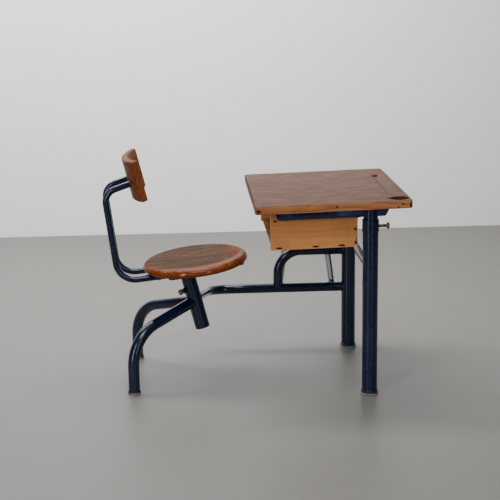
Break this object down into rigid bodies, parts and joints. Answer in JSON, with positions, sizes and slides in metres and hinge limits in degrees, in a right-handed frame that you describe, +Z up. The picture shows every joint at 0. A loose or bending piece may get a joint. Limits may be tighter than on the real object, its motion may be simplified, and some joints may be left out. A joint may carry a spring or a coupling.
{
  "type": "school desk with attached seat",
  "caption": "Steel-tube school desk: height-adjustable top with an open book box, joined by a side beam to a height-adjustable, turning round seat with a curved backrest.",
  "frame": {"origin": "Middle of the overall footprint, on the floor.", "axes": "+Z up; +X the way the pupil faces, from the seat to the desk; +Y to the pupil's left, the side of the beam."},
  "size_m": [0.9238, 0.6, 0.7211],
  "materials": {
    "frame_paint": "gloss dark blue enamel",
    "polished_rod": "polished steel rod",
    "foot_cap": "dark moulded foot",
    "bolt_steel": "tarnished zinc",
    "screw_steel": "plain steel",
    "inner_tube_paint": "gloss dark blue enamel",
    "tabletop_wood": "worn, nearly matte",
    "box_wood": "honey varnish",
    "box_panel": "thin plywood, varnished",
    "seat_wood": "gloss varnish",
    "backrest_wood": "gloss varnish"
  },
  "bodies": {
    "frame": {"right_post": "frame_paint", "left_post": "frame_paint", "right_collar": "frame_paint", "left_collar": "frame_paint", "right_post_foot": "foot_cap", "left_post_foot": "foot_cap", "cross_tube": "frame_paint", "side_beam": "frame_paint", "brace_tube": "frame_paint", "satchel_hoop": "polished_rod", "seat_column": "frame_paint", "seat_clamp_nut": "frame_paint", "right_seat_leg": "frame_paint", "left_seat_leg": "frame_paint", "right_leg_foot": "foot_cap", "left_leg_foot": "foot_cap"},
    "desk_top": {"tabletop": "tabletop_wood", "right_desk_stem": "inner_tube_paint", "left_desk_stem": "inner_tube_paint", "right_desk_rail": "frame_paint", "left_desk_rail": "frame_paint", "rail_screws": "screw_steel", "box_bottom": "box_panel", "box_back": "box_panel", "right_box_side": "box_wood", "left_box_side": "box_wood", "right_batten": "box_wood", "left_batten": "box_wood", "batten_screws": "screw_steel"},
    "right_clamp": {"right_clamp_bolt": "bolt_steel"},
    "left_clamp": {"left_clamp_bolt": "bolt_steel"},
    "seat_clamp": {"seat_clamp_bolt": "bolt_steel"},
    "seat_post": {"seat_stem": "inner_tube_paint"},
    "seat": {"seat_hub": "frame_paint", "seat_plate": "frame_paint", "right_back_tube": "frame_paint", "left_back_tube": "frame_paint", "seat_board": "seat_wood", "seat_screws": "screw_steel", "backrest": "backrest_wood"}
  },
  "joints": [
    {"name": "desk_height", "type": "slide", "parent": "frame", "child": "desk_top", "axis": [0, 0, 1], "range_m": [0, 0.15]},
    {"name": "right_clamp_turn", "type": "hinge", "parent": "frame", "child": "right_clamp", "pos_m": [0.39502, -0.245, 0.522], "axis": [1, 0, 0], "range_deg": [0, 360]},
    {"name": "left_clamp_turn", "type": "hinge", "parent": "frame", "child": "left_clamp", "pos_m": [0.39502, 0.245, 0.522], "axis": [1, 0, 0], "range_deg": [0, 360]},
    {"name": "seat_height", "type": "slide", "parent": "frame", "child": "seat_post", "axis": [-0.2487, 0, 0.9686], "range_m": [0, 0.08]},
    {"name": "seat_turn", "type": "hinge", "parent": "seat_post", "child": "seat", "pos_m": [-0.20174, 0, 0.32934], "axis": [-0.2487, 0, 0.9686], "range_deg": [-63, 57]},
    {"name": "seat_clamp_turn", "type": "hinge", "parent": "frame", "child": "seat_clamp", "pos_m": [-0.22386, -0.02, 0.27618], "axis": [-0.8388, -0.5, -0.2154], "range_deg": [0, 360]}
  ]
}
